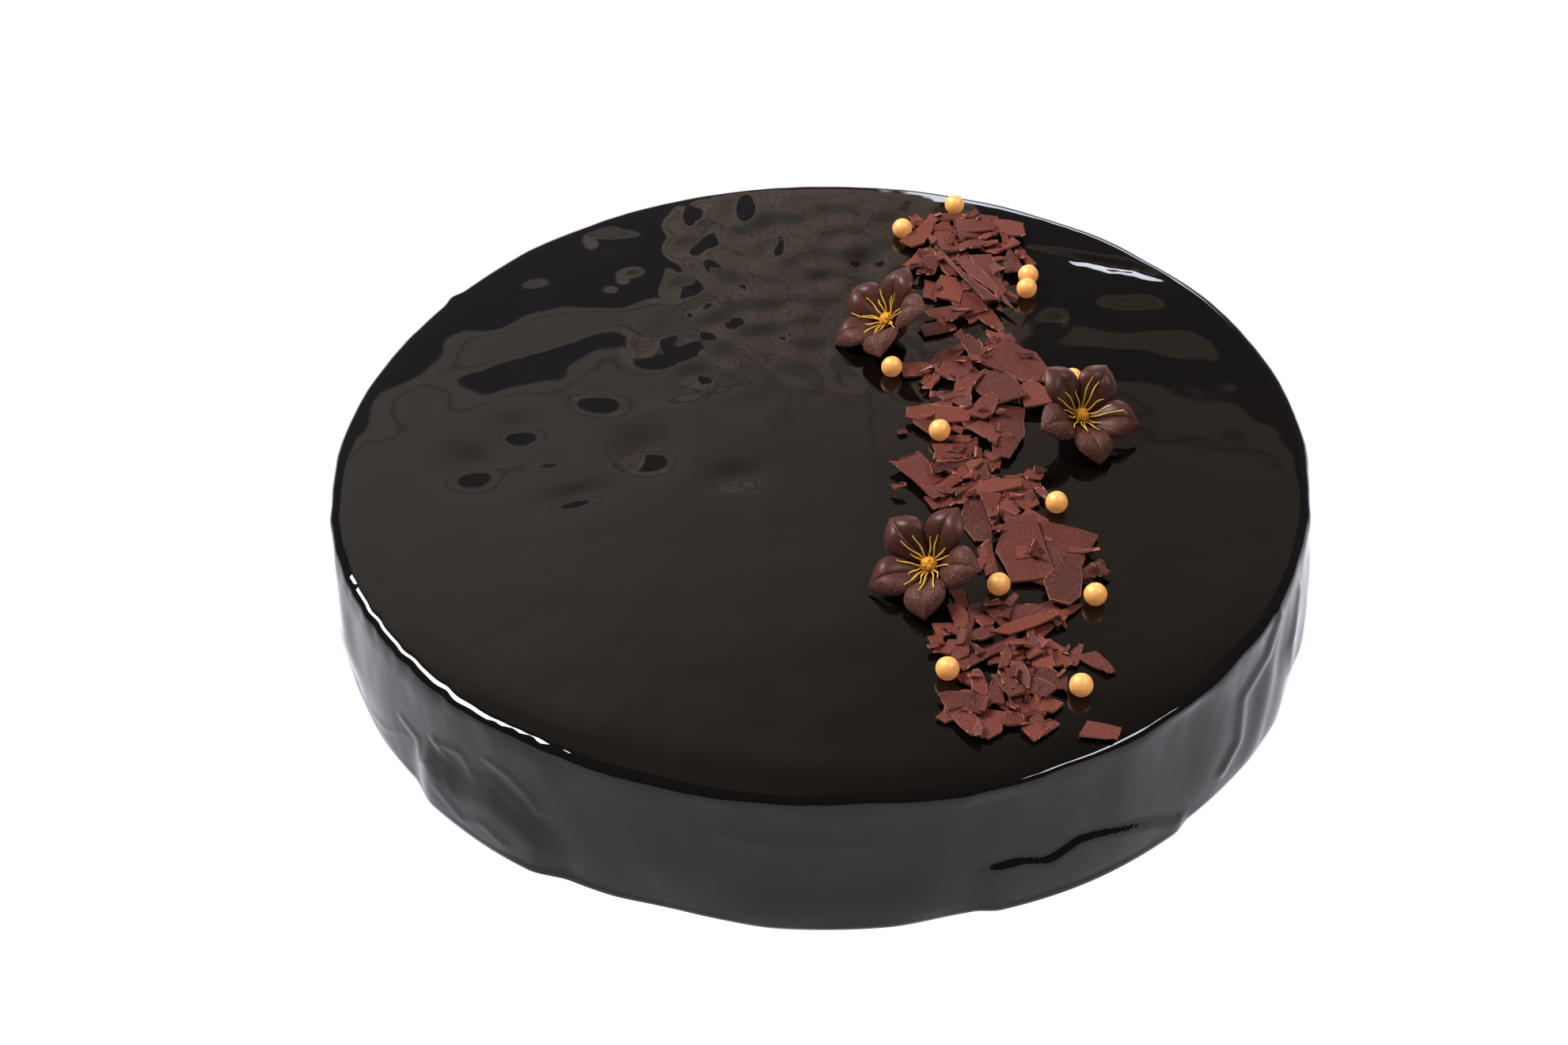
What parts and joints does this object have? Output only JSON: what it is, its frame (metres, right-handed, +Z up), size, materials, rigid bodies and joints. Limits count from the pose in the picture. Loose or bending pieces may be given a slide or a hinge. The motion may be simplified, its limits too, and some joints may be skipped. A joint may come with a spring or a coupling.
{
  "type": "chocolate mousse cake",
  "caption": "Low round mousse cake under a black mirror glaze, dressed along one curved band with broken chocolate shards, moulded chocolate flowers and gold sugar pearls.",
  "frame": {"origin": "middle of the flat base of the cake, on the plane that it rests on", "axes": "+Z up through the middle of the cake; +X towards the band of decoration; +Y away from the picture's viewer, towards the far end of the band"},
  "size_m": [0.2633, 0.2605, 0.059],
  "materials": {
    "glaze": "black chocolate mirror glaze, wet and near mirror smooth, with faint waves",
    "flower_chocolate": "moulded dark chocolate, satin, with a fine frosting on the petals and sugar stamens",
    "shard_chocolate": "broken red-brown chocolate flakes, matte, with a fine pale bloom and paler broken edges",
    "gold_pearl": "gold lustre sugar pearls with a soft sheen"
  },
  "bodies": {
    "root": {"cake": "glaze", "flower_1": "flower_chocolate", "flower_2": "flower_chocolate", "flower_3": "flower_chocolate", "pearl_1": "gold_pearl", "pearl_2": "gold_pearl", "pearl_3": "gold_pearl", "pearl_4": "gold_pearl", "pearl_5": "gold_pearl", "pearl_6": "gold_pearl", "pearl_7": "gold_pearl", "pearl_8": "gold_pearl", "pearl_9": "gold_pearl", "pearl_10": "gold_pearl", "pearl_11": "gold_pearl", "pearl_12": "gold_pearl", "shards_back": "shard_chocolate", "shards_back_2": "shard_chocolate", "shards_back_3": "shard_chocolate", "shards_middle": "shard_chocolate", "shards_middle_2": "shard_chocolate", "shards_inner": "shard_chocolate", "shards_inner_2": "shard_chocolate", "shards_front": "shard_chocolate", "shard_loose_side": "shard_chocolate", "shard_loose_front": "shard_chocolate", "shard_crumb": "shard_chocolate"}
  },
  "joints": []
}
